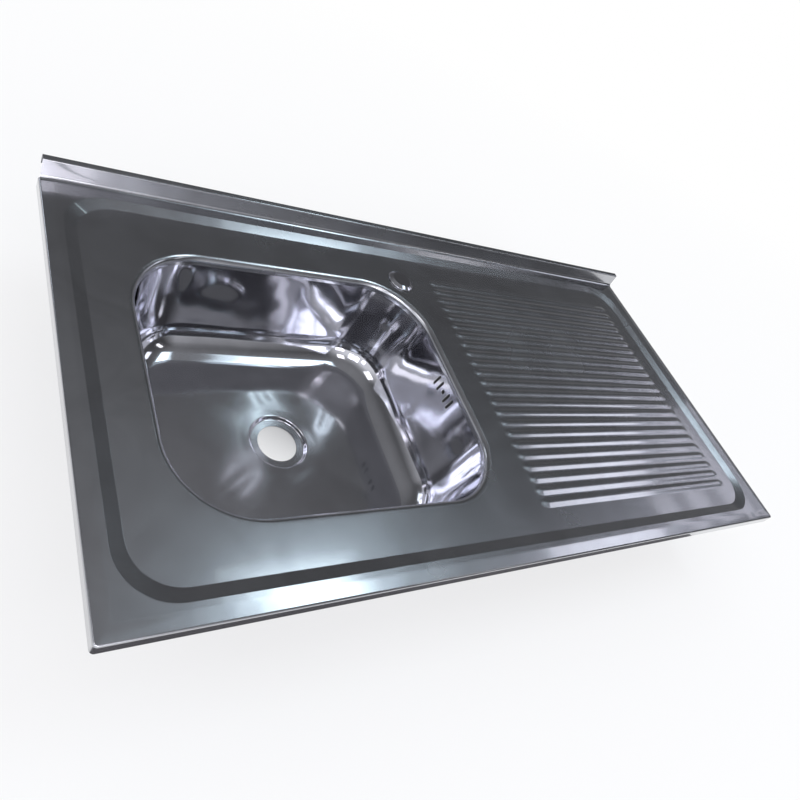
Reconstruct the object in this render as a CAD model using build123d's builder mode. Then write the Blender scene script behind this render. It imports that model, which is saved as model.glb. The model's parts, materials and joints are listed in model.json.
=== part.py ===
# Lay-on stainless steel kitchen sink: one bowl on the left, a ribbed drainer on the right.
# Origin: centre of the waste hole, on the seat of the waste recess. +X runs right along the
# sink, +Y runs back to the wall, +Z is up.
import os
from math import cos, radians, sin, tan

from build123d import *

os.makedirs("parts", exist_ok=True)

# Sink top
sheet = 0.8                 # steel sheet
top_length = 1000.0         # left edge to right edge
top_depth = 500.0           # front edge to the foot of the upstand
skirt_height = 16.0         # border top down to the rest level
lip_width = 9.0             # lip folded in under the skirt
lip_bend = 1.2
fold_corner = 4.0           # upright corners of the skirt
bend_radius = 2.5           # outside of the folded edge
fall_run = 13.0             # sloping strip along the outer edges
fall_drop = 1.2

# Step from the raised border down to the deck
border_left = 19.0
border_right = 30.0
border_front = 20.0
border_rear = 16.0          # flat ledge in front of the upstand
step_run = 12.8
step_drop = 4.0
step_corner = 52.0
step_corner_inner = 46.0

# Upstand along the back
upstand_height = 22.0
upstand_lean = 2.0
upstand_cap_depth = 11.0    # face and flat top strip together
upstand_cap_rise = 1.0
upstand_hem = 12.0          # back fold, hanging down
upstand_bend = 2.6
upstand_foot = 8.0          # part of the ledge pressed with the upstand

# Bowl
bowl_length = 400.0         # opening, outside the rolled edge
bowl_from_left = 71.0       # the sheet's edges to the opening
bowl_from_front = 79.0
bowl_from_rear = 81.0
bowl_corner = 92.0
rim_radius = 7.0
rim_collar = 4.0            # straight part below the rolled edge, where the bowl is welded on
bowl_depth = 134.0          # deck to floor
bowl_draft = 7.0            # degrees
foot_radius = 40.0

# Waste recess and hole
recess_depth = 5.0
recess_radius = 38.0        # edge of the recess at the floor
recess_slope = 2.0
recess_bend = 2.2
recess_join = 8.0           # flat ring of floor pressed with the recess
waste_radius = 26.0

# Overflow
slot_height = 16.0
slot_width = 4.2
slot_pitch = 10.0
slots_each_side = 2
overflow_drop = 28.5        # slot centres below the border
overflow_screw_radius = 3.0

# Drainer ribs
rib_from_bowl = 37.0
rib_from_right = 70.0
rib_from_front_step = 35.8  # the foot of the step to the middle of the first rib
rib_from_rear_step = 41.8
rib_count = 23
rib_width = 11.0
rib_height = 1.2

# Tap hole and its cap
tap_from_bowl_side = 17.0   # inwards from the bowl's right side
tap_from_rear = 76.0
tap_hole_radius = 16.0
cap_radius = 19.0
cap_flat_radius = 13.5
cap_edge = 0.8
cap_height = 3.4
cap_seat_radius = 14.0      # the cap is hollow inside this
cap_dish = 2.0
cap_stud_length = 27.0
cap_stud_radius = 3.0
stud_tip = 0.6              # chamfer at the stud ends
seal_thickness = 0.8
seal_radius = 18.2
seal_hole_radius = 13.0
bar_length = 48.0
bar_width = 14.0
bar_thickness = 2.5
bar_pip_radius = 6.0        # raised middle that centres the bar in the hole
bar_pip_height = 0.6
wing_hub_radius = 5.5
wing_hub_height = 6.0
wing_span = 14.0
wing_root = 4.0
wing_height = 9.0
wing_drop = 2.0
wing_thickness = 2.2
wing_round = 3.0

# Stiffening channels
channel_sheet = 1.0
channel_width = 24.0
channel_flange = 6.0
channel_height = 10.0
channel_bend = 1.5
channel_inset = 56.0        # centre of the end channels and the front channel from the edge
channel_gap = 4.0           # between crossing channels
side_channel_start = 52.0   # from the front and from the back
side_channel_stop = 48.0
drainer_channel_count = 2   # spread evenly along the ribs
drainer_channel_stop = 60.0

# Rear rail
rail_sheet = 1.2
rail_depth = 12.0
rail_bend = 1.8
rail_end_gap = 14.0
rail_wall_gap = 2.0

# Swinging brackets
stud_radius = 3.0
stud_length = 12.0
stud_base_radius = 5.0
stud_base_height = 0.6
running_gap = 0.1
bracket_thickness = 2.0
bracket_width = 20.0
bracket_reach = 36.0        # stud centre to the panel face
bracket_drop = 32.0
bracket_bend = 3.2
bracket_corner = 4.0
bracket_hole_radius = 2.6
bracket_hole_drop = 20.0
bracket_from_front = 110.0
bracket_from_rear = 130.0
washer_radius = 6.2
washer_hole_radius = 3.2
washer_thickness = 1.0
nut_across_flats = 10.0
nut_height = 4.6
nut_collar_radius = 4.2
nut_collar_height = 1.4

# Sound pads
bowl_pad_length = 250.0
bowl_pad_width = 190.0
bowl_pad_corner = 20.0
bowl_pad_hole_radius = 52.0
bowl_pad_thickness = 3.0
drainer_pad_margin = 14.0   # to the channels beside it
drainer_pad_width = 280.0
drainer_pad_thickness = 2.5
drainer_pad_corner = 8.0

# Earth tag
tag_from_left = 92.0
tag_from_rear = 70.0
tag_width = 12.0
tag_foot = 12.0
tag_drop = 16.0
tag_bend = 1.8
tag_thickness = 1.2
tag_hole_radius = 2.1
tag_hole_drop = 9.5
tag_screw_radius = 2.0
tag_screw_length = 10.0
tag_head_radius = 4.0
tag_head_height = 2.6
tag_slot_width = 1.0
tag_slot_depth = 1.2
tag_nut_flats = 7.0
tag_nut_height = 3.2

cut = 1.0                   # overrun of every cut
near = 0.05                 # reach when edges are picked by level
overrun = 40.0              # the folded tray is built past the back and trimmed there

# Levels and places worked out from the sizes
floor_top = recess_depth
deck_top = floor_top + bowl_depth
border_top = deck_top + step_drop
deck_under = deck_top - sheet
border_under = border_top - sheet
rest_level = border_top - skirt_height
weld_level = deck_top - rim_radius - rim_collar
bowl_width = top_depth - bowl_from_front - bowl_from_rear
left = -(bowl_from_left + bowl_length / 2)
right = left + top_length
front = -(bowl_from_front + bowl_width / 2)
rear = front + top_depth
rib_start = bowl_length / 2 + rib_from_bowl
rib_end = right - rib_from_right
rib_middle = (rib_start + rib_end) / 2
rib_first = front + border_front + step_run + rib_from_front_step
rib_last = rear - border_rear - step_run - rib_from_rear_step
rib_pitch = (rib_last - rib_first) / (rib_count - 1)
rib_curve = (rib_width**2 / 4 + rib_height**2) / (2 * rib_height)
tap = (bowl_length / 2 - tap_from_bowl_side, rear - tap_from_rear)
crown_under = deck_under - channel_height
inner_length = bowl_length - 2 * rim_radius
inner_width = bowl_width - 2 * rim_radius
inner_corner = bowl_corner - rim_radius
channel_left = left + channel_inset
channel_right = right - channel_inset
channel_front = front + channel_inset
channel_spread = (rib_end - rib_start) / (drainer_channel_count + 1)
drainer_channel_places = [
    rib_start + (i + 1) * channel_spread for i in range(drainer_channel_count)
]
stud_places = [
    (x, y)
    for x in (channel_left, channel_right)
    for y in (front + bracket_from_front, rear - bracket_from_rear)
]


def rounded(x0, x1, y0, y1, radius):
    """A rounded rectangle given by its edges, in the sketch that is open."""
    with Locations(((x0 + x1) / 2, (y0 + y1) / 2)):
        RectangleRounded(x1 - x0, y1 - y0, radius)


def tray(inset):
    """The block inside the folded edges, running on past the back."""
    top = border_top - inset
    level = top - fall_drop
    back = rear + overrun
    edges = (left + inset, right - inset, front + inset, back)
    corner = fold_corner - inset
    with BuildPart() as block:
        with BuildSketch(Plane.XY.offset(rest_level)):
            rounded(*edges, corner)
        extrude(amount=level - rest_level)
        with BuildSketch(Plane.XY.offset(level)):
            rounded(*edges, corner)
        with BuildSketch(Plane.XY.offset(top)):
            x0, x1, y0, y1 = edges
            rounded(x0 + fall_run, x1 - fall_run, y0 + fall_run, y1 - fall_run, corner)
        loft(ruled=True)
        shoulder = block.edges().filter_by_position(Axis.Z, level - near, level + near)
        fillet(shoulder, radius=bend_radius - inset)
    return block.part


def step_well(drop):
    """The well between the border and the deck, lowered by drop."""
    x0, x1 = left + border_left, right - border_right
    y0, y1 = front + border_front, rear - border_rear
    with BuildPart() as well:
        with BuildSketch(Plane.XY.offset(border_top - drop)):
            rounded(x0, x1, y0, y1, step_corner)
        with BuildSketch(Plane.XY.offset(deck_top - drop)):
            run = step_run
            rounded(x0 + run, x1 - run, y0 + run, y1 - run, step_corner_inner)
        loft(ruled=True)
    return well.part


def bead(radius, base):
    """A rib's round-ended form, cut off at its base level."""
    reach = (rib_end - rib_start - rib_width) / 2
    with BuildPart() as form:
        with Locations((rib_middle, 0, deck_top + rib_height - rib_curve)):
            Cylinder(radius, 2 * reach, rotation=(0, 90, 0))
            with Locations((-reach, 0, 0), (reach, 0, 0)):
                Sphere(radius)
        split(bisect_by=Plane.XY.offset(base), keep=Keep.TOP)
    return form.part


def bowl_form(wall):
    """The drawn bowl grown by a wall, from the weld line down."""
    mouth = Plane(origin=(0, 0, weld_level), x_dir=(1, 0, 0), z_dir=(0, 0, -1))
    with BuildPart() as form:
        with BuildSketch(mouth):
            RectangleRounded(inner_length + 2 * wall, inner_width + 2 * wall, inner_corner + wall)
        extrude(amount=weld_level - floor_top + wall, taper=bowl_draft)
        fillet(form.faces().sort_by(Axis.Z)[0].edges(), radius=foot_radius + wall)
    return form.part


def channel_form(start, middle, run):
    """A hat-section channel, its flanges against the deck."""
    reach = channel_width / 2
    web = reach - channel_flange
    low = crown_under + channel_sheet
    with BuildPart() as form:
        with BuildSketch(start):
            with BuildLine():
                FilletPolyline(
                    (middle - reach, deck_under),
                    (middle - web, deck_under),
                    (middle - web, low),
                    (middle + web, low),
                    (middle + web, deck_under),
                    (middle + reach, deck_under),
                    radius=channel_bend,
                )
                offset(amount=channel_sheet, side=Side.RIGHT)
            make_face()
        extrude(amount=run)
    return form.part


def bracket_form():
    """A bracket reaching left from its stud."""
    top = crown_under - stud_base_height - running_gap
    half = bracket_width / 2
    with BuildPart() as form:
        with BuildSketch(Plane.XZ):
            with BuildLine():
                FilletPolyline(
                    (0, top),
                    (-bracket_reach, top),
                    (-bracket_reach, top - bracket_drop),
                    radius=bracket_bend,
                )
                offset(amount=bracket_thickness, side=Side.LEFT)
            make_face()
        extrude(amount=half, both=True)
        corners = form.edges().filter_by(Axis.X).group_by(Axis.Z)[0]
        fillet(corners, radius=bracket_corner)
        with BuildSketch(Plane.XY.offset(top)):
            Circle(half)
        extrude(amount=-bracket_thickness)
        with BuildSketch(Plane.XY.offset(top)):
            Circle(stud_radius + running_gap)
        extrude(amount=-bracket_thickness, mode=Mode.SUBTRACT)
        with Locations((-bracket_reach, 0, top - bracket_hole_drop)):
            turn = (0, 90, 0)
            length = 4 * bracket_thickness
            Cylinder(bracket_hole_radius, length, rotation=turn, mode=Mode.SUBTRACT)
    return form.part


tray_outside = tray(0)
tray_inside = tray(sheet)
well_under = step_well(sheet)
well_over = step_well(0)
bead_over = bead(rib_curve, deck_top - sheet / 2)
bead_under = bead(rib_curve - sheet, deck_under - cut)
bowl_outside = bowl_form(sheet)
bowl_inside = bowl_form(0)
bracket = bracket_form()

with BuildPart() as sink_top:
    add(tray_outside)
    add(tray_inside, mode=Mode.SUBTRACT)
    # folded lips, then the tray is trimmed at the back
    with BuildSketch(Plane.XY.offset(rest_level)):
        rounded(left, right, front, rear + overrun, fold_corner)
        with Locations((left + top_length / 2, front + lip_width + top_depth)):
            Rectangle(top_length - 2 * lip_width, 2 * top_depth, mode=Mode.SUBTRACT)
    extrude(amount=sheet)
    split(bisect_by=Plane.XZ.offset(-rear), keep=Keep.TOP)
    low_edges = sink_top.edges().filter_by_position(Axis.Z, rest_level - near, rest_level + near)
    third = lip_width / 3
    folds = [
        e
        for e in low_edges
        if e.center().X < left + third
        or e.center().X > right - third
        or e.center().Y < front + third
    ]
    fillet(folds, radius=lip_bend)
    # step from the border down to the deck
    add(well_under)
    add(well_over, mode=Mode.SUBTRACT)
    # upstand, its top strip and its hem
    with BuildSketch(Plane.YZ.offset(left)):
        with BuildLine():
            face_top = border_top + upstand_height - sheet
            FilletPolyline(
                (rear - upstand_foot, border_under),
                (rear + sheet, border_under),
                (rear + sheet + upstand_lean, face_top - upstand_cap_rise),
                (rear + upstand_cap_depth - sheet, face_top),
                (rear + upstand_cap_depth - sheet, face_top - upstand_hem),
                radius=upstand_bend,
            )
            offset(amount=sheet, side=Side.LEFT)
        make_face()
    extrude(amount=top_length)
    # bowl opening with its rolled edge and collar
    with BuildSketch(Plane.XY.offset(deck_top)):
        RectangleRounded(inner_length, inner_width, inner_corner)
    extrude(amount=-2 * sheet, mode=Mode.SUBTRACT)
    with BuildSketch(Plane.XY.offset(weld_level)):
        RectangleRounded(inner_length + 2 * sheet, inner_width + 2 * sheet, inner_corner + sheet)
        RectangleRounded(inner_length, inner_width, inner_corner, mode=Mode.SUBTRACT)
    extrude(amount=deck_top - weld_level)
    for level, radius in ((deck_under, rim_radius - sheet), (deck_top, rim_radius)):
        ring = [
            e
            for e in sink_top.edges().filter_by_position(Axis.Z, level - near, level + near)
            if abs(e.center().X) < bowl_length / 2 and abs(e.center().Y) < bowl_width / 2
        ]
        fillet(ring, radius=radius)
    # drainer ribs pressed up
    rib_places = [(0, rib_first + i * rib_pitch, 0) for i in range(rib_count)]
    with Locations(rib_places):
        add(bead_over)
        add(bead_under, mode=Mode.SUBTRACT)
    # tap hole
    with Locations((*tap, deck_top)):
        Cylinder(tap_hole_radius, 4 * sheet, mode=Mode.SUBTRACT)
sink_top.part.label = "sink_top"
export_step(sink_top.part, "parts/sink_top.step")

with BuildPart() as bowl:
    add(bowl_outside)
    add(bowl_inside, mode=Mode.SUBTRACT)
    # waste recess and hole
    with Locations((0, 0, floor_top)):
        Cylinder(recess_radius + recess_join, 4 * sheet, mode=Mode.SUBTRACT)
    with BuildSketch(Plane.XZ):
        with BuildLine():
            FilletPolyline(
                (recess_radius + recess_join, floor_top),
                (recess_radius, floor_top),
                (recess_radius - recess_slope, 0),
                (waste_radius, 0),
                radius=recess_bend,
            )
            offset(amount=sheet, side=Side.LEFT)
        make_face()
    revolve(axis=Axis.Z)
    # overflow slots and screw hole, square to the sloping wall
    overflow_level = border_top - overflow_drop
    slope = radians(bowl_draft)
    wall_x = inner_length / 2 - (weld_level - overflow_level) * tan(slope)
    overflow_plane = Plane(
        origin=(wall_x, 0, overflow_level),
        x_dir=(0, 1, 0),
        z_dir=(-cos(slope), 0, sin(slope)),
    )
    with BuildSketch(overflow_plane):
        for i in range(slots_each_side):
            place = (i + 1) * slot_pitch
            with Locations((-place, 0), (place, 0)):
                SlotOverall(slot_height, slot_width, rotation=90)
        Circle(overflow_screw_radius)
    extrude(amount=4 * sheet, both=True, mode=Mode.SUBTRACT)
bowl.part.label = "bowl"
export_step(bowl.part, "parts/bowl.step")

with BuildPart() as bowl_sound_pad:
    with BuildSketch(Plane.XY.offset(floor_top - sheet)):
        RectangleRounded(bowl_pad_length, bowl_pad_width, bowl_pad_corner)
        Circle(bowl_pad_hole_radius, mode=Mode.SUBTRACT)
    extrude(amount=-bowl_pad_thickness)
bowl_sound_pad.part.label = "bowl_sound_pad"
export_step(bowl_sound_pad.part, "parts/bowl_sound_pad.step")

with BuildPart() as drainer_sound_pad:
    first, second = drainer_channel_places
    margin = channel_width / 2 + drainer_pad_margin
    with BuildSketch(Plane.XY.offset(deck_under)):
        x0, x1 = first + margin, second - margin
        reach = drainer_pad_width / 2
        rounded(x0, x1, -reach, reach, drainer_pad_corner)
    extrude(amount=-drainer_pad_thickness)
drainer_sound_pad.part.label = "drainer_sound_pad"
export_step(drainer_sound_pad.part, "parts/drainer_sound_pad.step")

# Channels spot-welded under the deck
beside = channel_width / 2 + channel_gap
front_form = channel_form(
    Plane.YZ.offset(channel_left + beside),
    channel_front,
    channel_right - channel_left - 2 * beside,
)
side_start = Plane.XZ.offset(-(front + side_channel_start))
side_run = side_channel_start + side_channel_stop - top_depth
left_form = channel_form(side_start, channel_left, side_run)
right_form = channel_form(side_start, channel_right, side_run)
drainer_start = Plane.XZ.offset(-(channel_front + beside))
drainer_run = channel_front + beside + drainer_channel_stop - rear
first_place, second_place = drainer_channel_places
first_form = channel_form(drainer_start, first_place, drainer_run)
second_form = channel_form(drainer_start, second_place, drainer_run)

with BuildPart() as front_channel:
    add(front_form)
front_channel.part.label = "front_channel"
export_step(front_channel.part, "parts/front_channel.step")

with BuildPart() as left_channel:
    add(left_form)
left_channel.part.label = "left_channel"
export_step(left_channel.part, "parts/left_channel.step")

with BuildPart() as right_channel:
    add(right_form)
right_channel.part.label = "right_channel"
export_step(right_channel.part, "parts/right_channel.step")

with BuildPart() as drainer_channel_left:
    add(first_form)
drainer_channel_left.part.label = "drainer_channel_left"
export_step(drainer_channel_left.part, "parts/drainer_channel_left.step")

with BuildPart() as drainer_channel_right:
    add(second_form)
drainer_channel_right.part.label = "drainer_channel_right"
export_step(drainer_channel_right.part, "parts/drainer_channel_right.step")

with BuildPart() as rear_rail:
    with BuildSketch(Plane.YZ.offset(left + rail_end_gap)):
        with BuildLine():
            rail_back = rear - rail_wall_gap
            rail_front = rail_back - rail_depth
            FilletPolyline(
                (rail_back, border_under),
                (rail_front, border_under),
                (rail_front, rest_level),
                (rail_back, rest_level),
                radius=rail_bend,
            )
            offset(amount=rail_sheet, side=Side.LEFT)
        make_face()
    extrude(amount=top_length - 2 * rail_end_gap)
rear_rail.part.label = "rear_rail"
export_step(rear_rail.part, "parts/rear_rail.step")

# Brackets and what they swing on
with BuildPart() as bracket_front_left:
    with Locations((channel_left, front + bracket_from_front, 0)):
        add(bracket)
bracket_front_left.part.label = "bracket_front_left"
export_step(bracket_front_left.part, "parts/bracket_front_left.step")

with BuildPart() as bracket_rear_left:
    with Locations((channel_left, rear - bracket_from_rear, 0)):
        add(bracket)
bracket_rear_left.part.label = "bracket_rear_left"
export_step(bracket_rear_left.part, "parts/bracket_rear_left.step")

with BuildPart() as bracket_front_right:
    with Locations(Location((channel_right, front + bracket_from_front, 0), (0, 0, 180))):
        add(bracket)
bracket_front_right.part.label = "bracket_front_right"
export_step(bracket_front_right.part, "parts/bracket_front_right.step")

with BuildPart() as bracket_rear_right:
    with Locations(Location((channel_right, rear - bracket_from_rear, 0), (0, 0, 180))):
        add(bracket)
bracket_rear_right.part.label = "bracket_rear_right"
export_step(bracket_rear_right.part, "parts/bracket_rear_right.step")

with BuildPart() as bracket_studs:
    with BuildSketch(Plane.XY.offset(crown_under)):
        with Locations(stud_places):
            Circle(stud_base_radius)
    extrude(amount=-stud_base_height)
    with BuildSketch(Plane.XY.offset(crown_under)):
        with Locations(stud_places):
            Circle(stud_radius)
    extrude(amount=-stud_length)
    tips = bracket_studs.faces().group_by(Axis.Z)[0].edges()
    chamfer(tips, length=stud_tip)
bracket_studs.part.label = "bracket_studs"
export_step(bracket_studs.part, "parts/bracket_studs.step")

washer_top = crown_under - stud_base_height - 2 * running_gap - bracket_thickness
with BuildPart() as bracket_washers:
    with BuildSketch(Plane.XY.offset(washer_top)):
        with Locations(stud_places):
            Circle(washer_radius)
            Circle(washer_hole_radius, mode=Mode.SUBTRACT)
    extrude(amount=-washer_thickness)
bracket_washers.part.label = "bracket_washers"
export_step(bracket_washers.part, "parts/bracket_washers.step")

nut_top = washer_top - washer_thickness
with BuildPart() as bracket_lock_nuts:
    with BuildSketch(Plane.XY.offset(nut_top)):
        with Locations(stud_places):
            RegularPolygon(nut_across_flats / 2, 6, major_radius=False)
            Circle(stud_radius, mode=Mode.SUBTRACT)
    extrude(amount=-nut_height)
    with BuildSketch(Plane.XY.offset(nut_top - nut_height)):
        with Locations(stud_places):
            Circle(nut_collar_radius)
            Circle(stud_radius, mode=Mode.SUBTRACT)
    extrude(amount=-nut_collar_height)
bracket_lock_nuts.part.label = "bracket_lock_nuts"
export_step(bracket_lock_nuts.part, "parts/bracket_lock_nuts.step")

# Tap hole cap and its clamp
cap_base = deck_top + seal_thickness
with BuildPart() as tap_hole_cap:
    with BuildSketch(Plane.XZ.offset(-tap[1])):
        with BuildLine():
            Polyline(
                (tap[0], cap_base + cap_height),
                (tap[0] + cap_flat_radius, cap_base + cap_height),
                (tap[0] + cap_radius, cap_base + cap_edge),
                (tap[0] + cap_radius, cap_base),
                (tap[0] + cap_seat_radius, cap_base),
                (tap[0] + cap_seat_radius, cap_base + cap_dish),
                (tap[0] + cap_stud_radius, cap_base + cap_dish),
                (tap[0] + cap_stud_radius, cap_base - cap_stud_length),
                (tap[0], cap_base - cap_stud_length),
                close=True,
            )
        make_face()
    revolve(axis=Axis((*tap, 0), (0, 0, 1)))
    tip = tap_hole_cap.faces().sort_by(Axis.Z)[0].edges()
    chamfer(tip, length=stud_tip)
tap_hole_cap.part.label = "tap_hole_cap"
export_step(tap_hole_cap.part, "parts/tap_hole_cap.step")

with BuildPart() as cap_seal:
    with BuildSketch(Plane.XY.offset(deck_top)):
        with Locations(tap):
            Circle(seal_radius)
            Circle(seal_hole_radius, mode=Mode.SUBTRACT)
    extrude(amount=seal_thickness)
cap_seal.part.label = "cap_seal"
export_step(cap_seal.part, "parts/cap_seal.step")

with BuildPart() as cap_clamp_bar:
    with BuildSketch(Plane.XY.offset(deck_under)):
        with Locations(tap):
            SlotOverall(bar_length, bar_width)
    extrude(amount=-bar_thickness)
    with BuildSketch(Plane.XY.offset(deck_under)):
        with Locations(tap):
            Circle(bar_pip_radius)
    extrude(amount=bar_pip_height)
    with Locations((*tap, deck_under)):
        bore = cap_stud_radius + running_gap
        Cylinder(bore, 4 * bar_thickness, mode=Mode.SUBTRACT)
cap_clamp_bar.part.label = "cap_clamp_bar"
export_step(cap_clamp_bar.part, "parts/cap_clamp_bar.step")

wing_top = deck_under - bar_thickness
with BuildPart() as cap_wing_nut:
    with BuildSketch(Plane.XY.offset(wing_top)):
        with Locations(tap):
            Circle(wing_hub_radius)
    extrude(amount=-wing_hub_height)
    with BuildSketch(Plane.XZ.offset(-tap[1])):
        middle = (wing_root + wing_span) / 2
        level = wing_top - wing_drop - wing_height / 2
        with Locations((tap[0] - middle, level), (tap[0] + middle, level)):
            RectangleRounded(wing_span - wing_root, wing_height, wing_round)
    extrude(amount=wing_thickness / 2, both=True)
    with Locations((*tap, wing_top)):
        bore = cap_stud_radius + running_gap
        Cylinder(bore, 4 * wing_height, mode=Mode.SUBTRACT)
cap_wing_nut.part.label = "cap_wing_nut"
export_step(cap_wing_nut.part, "parts/cap_wing_nut.step")

# Earth tag, its screw and nut
tag_x = left + tag_from_left
tag_y = rear - tag_from_rear
screw_level = deck_under - tag_hole_drop
with BuildPart() as earth_tag:
    with BuildSketch(Plane.YZ.offset(tag_x)):
        with BuildLine():
            FilletPolyline(
                (tag_y + tag_foot, deck_under),
                (tag_y, deck_under),
                (tag_y, deck_under - tag_drop),
                radius=tag_bend,
            )
            offset(amount=tag_thickness, side=Side.LEFT)
        make_face()
    extrude(amount=tag_width / 2, both=True)
    with Locations((tag_x, tag_y, screw_level)):
        length = 4 * tag_thickness
        Cylinder(tag_hole_radius, length, rotation=(90, 0, 0), mode=Mode.SUBTRACT)
earth_tag.part.label = "earth_tag"
export_step(earth_tag.part, "parts/earth_tag.step")

with BuildPart() as earth_screw:
    with BuildSketch(Plane.XZ.offset(-tag_y)):
        with Locations((tag_x, screw_level)):
            Circle(tag_head_radius)
    extrude(amount=tag_head_height)
    with BuildSketch(Plane.XZ.offset(-tag_y)):
        with Locations((tag_x, screw_level)):
            Circle(tag_screw_radius)
    extrude(amount=-tag_screw_length)
    with BuildSketch(Plane.XZ.offset(-tag_y + tag_head_height)):
        with Locations((tag_x, screw_level)):
            Rectangle(tag_slot_width, 4 * tag_head_radius)
    extrude(amount=-tag_slot_depth, mode=Mode.SUBTRACT)
earth_screw.part.label = "earth_screw"
export_step(earth_screw.part, "parts/earth_screw.step")

with BuildPart() as earth_nut:
    with BuildSketch(Plane.XZ.offset(-tag_y - tag_thickness)):
        with Locations((tag_x, screw_level)):
            RegularPolygon(tag_nut_flats / 2, 6, major_radius=False)
            Circle(tag_screw_radius, mode=Mode.SUBTRACT)
    extrude(amount=-tag_nut_height)
earth_nut.part.label = "earth_nut"
export_step(earth_nut.part, "parts/earth_nut.step")
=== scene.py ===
import json
import math

import bpy
import bmesh
from mathutils import Matrix, Vector
from mathutils.geometry import delaunay_2d_cdt


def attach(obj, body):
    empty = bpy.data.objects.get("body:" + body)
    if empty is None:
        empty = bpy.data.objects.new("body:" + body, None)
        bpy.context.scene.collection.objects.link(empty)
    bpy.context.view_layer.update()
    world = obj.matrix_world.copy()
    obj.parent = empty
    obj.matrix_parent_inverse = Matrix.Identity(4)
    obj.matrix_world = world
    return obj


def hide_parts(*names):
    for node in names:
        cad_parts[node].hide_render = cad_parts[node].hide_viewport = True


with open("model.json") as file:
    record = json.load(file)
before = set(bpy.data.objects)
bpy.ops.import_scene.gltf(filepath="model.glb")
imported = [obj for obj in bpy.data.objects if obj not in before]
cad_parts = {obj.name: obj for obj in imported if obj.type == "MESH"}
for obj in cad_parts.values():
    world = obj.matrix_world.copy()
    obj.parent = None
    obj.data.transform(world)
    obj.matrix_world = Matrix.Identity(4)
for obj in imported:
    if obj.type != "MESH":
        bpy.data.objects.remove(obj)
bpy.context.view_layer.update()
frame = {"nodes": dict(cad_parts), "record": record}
nodes = frame["nodes"]
mm = 0.001
sameSpot = 1e-6               # metres
tiny = 1e-4                   # a turn or a length that counts as none
print("frame loaded:", len(nodes), "nodes")

# sizes in millimetres, from the waste hole's seat
sheetMetal = {
    "left": -271.0, "right": 729.0, "front": -249.0, "rear": 251.0,
    "borderTop": 143.0, "deckTop": 139.0, "restLevel": 127.0,
    "sheet": 0.8,
    "lip": 9.0, "lipBend": 1.2,
    "foldCorner": 4.0, "foldBend": 2.5,
    "fallRun": 13.0, "fallDrop": 1.2, "fallBend": 40.0, "fallFlat": 2.0,
    "straightFrom": 15.0, "cornerSteps": 8, "sideSteps": 8, "frontSteps": 16, "bendSteps": 6,
    "endFrom": 1.0, "joinWithin": 0.02, "normalWeight": 80,
}
stepDown = {
    "left": 19.0, "right": 30.0, "front": 20.0, "rear": 16.0,   # from the sheet's edges
    "run": 12.8, "corner": 52.0, "cornerInner": 46.0,
    "bendTop": 1.8, "bendFoot": 3.0, "flat": 4.0,
    "cornerSteps": 20, "sideSteps": 6, "bendSteps": 5,
}
upstand = {
    "foot": 5.0, "footBend": 4.6, "lean": 2.8, "topBend": 1.6,
    "height": 21.84, "capDepth": 11.0, "capRise": 1.0, "hem": 12.0,
    "lengthSteps": 24, "bendSteps": 6,
}
bowlMouth = {
    "halfLength": 200.0, "halfWidth": 170.0, "corner": 92.0,
    "roll": 7.0, "weldLevel": 128.0, "flat": 2.5,
    "cornerSteps": 28, "sideSteps": 36, "rollSteps": 10,
}
bowlForm = {
    "floor": 5.0, "foot": 40.0, "draft": 7.0,
    "fall": 1.6,                # the floor's fall to the waste
    "creases": (                # faint pressed lines in the floor: from, to, depth, width
        ((-20, 140), (0, 44), 0.12, 10.0), ((152, 128), (60, 8), 0.1, 8.0),
        ((-100, -78), (-30, -26), 0.12, 10.0), ((110, -88), (36, -28), 0.1, 10.0),
    ),
    "creaseEnd": 12.0, "creaseFade": 4, "floorReach": 60.0,
    "recessJoin": 46.0, "recessEdge": 38.0, "recessSlope": 2.0, "recessBend": 2.2,
    "waste": 26.0,
    "wallSteps": 8, "footSteps": 20, "floorSteps": 16, "recessSteps": 6, "normalWeight": 50,
}
overflow = {
    "level": 114.5, "slotHeight": 16.0, "slotWidth": 4.2, "pitch": 10.0, "screw": 3.0,
    "places": (-2, -1, 1, 2), "arcSteps": 10, "screwSteps": 24, "cutDepth": 4.0,
}
drainer = {
    "start": 234.0, "end": 662.0, "count": 23, "pitch": 16.4, "height": 1.2,
    "endStretch": 1.9, "endSteps": 10, "sideSteps": 14, "waveSteps": 10,
}
tapHole = {"x": 183.0, "y": 175.0, "radius": 16.0, "steps": 48}


# Mesh helpers
def arc(x, y, radius, start, degrees, steps):
    turns = [math.radians(start + degrees * i / steps) for i in range(steps + 1)]
    return [(x + radius * math.cos(a), y + radius * math.sin(a)) for a in turns]


def circle(x, y, radius, steps):
    return arc(x, y, radius, 0, 360, steps)[:-1]


def roundedLoop(x0, x1, y0, y1, radius, cornerSteps, sideSteps):
    points = []
    r = max(radius, 0.0)
    corners = (
        (x1 - r, y0 + r, -90), (x1 - r, y1 - r, 0), (x0 + r, y1 - r, 90), (x0 + r, y0 + r, 180),
    )
    for k, (cx, cy, start) in enumerate(corners):
        points += arc(cx, cy, r, start, 90, cornerSteps)
        nx, ny, nextStart = corners[(k + 1) % 4]
        goal = arc(nx, ny, r, nextStart, 90, cornerSteps)[0]
        last = points[-1]
        for i in range(1, sideSteps):
            t = i / sideSteps
            points.append((last[0] + (goal[0] - last[0]) * t, last[1] + (goal[1] - last[1]) * t))
    return points


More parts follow.
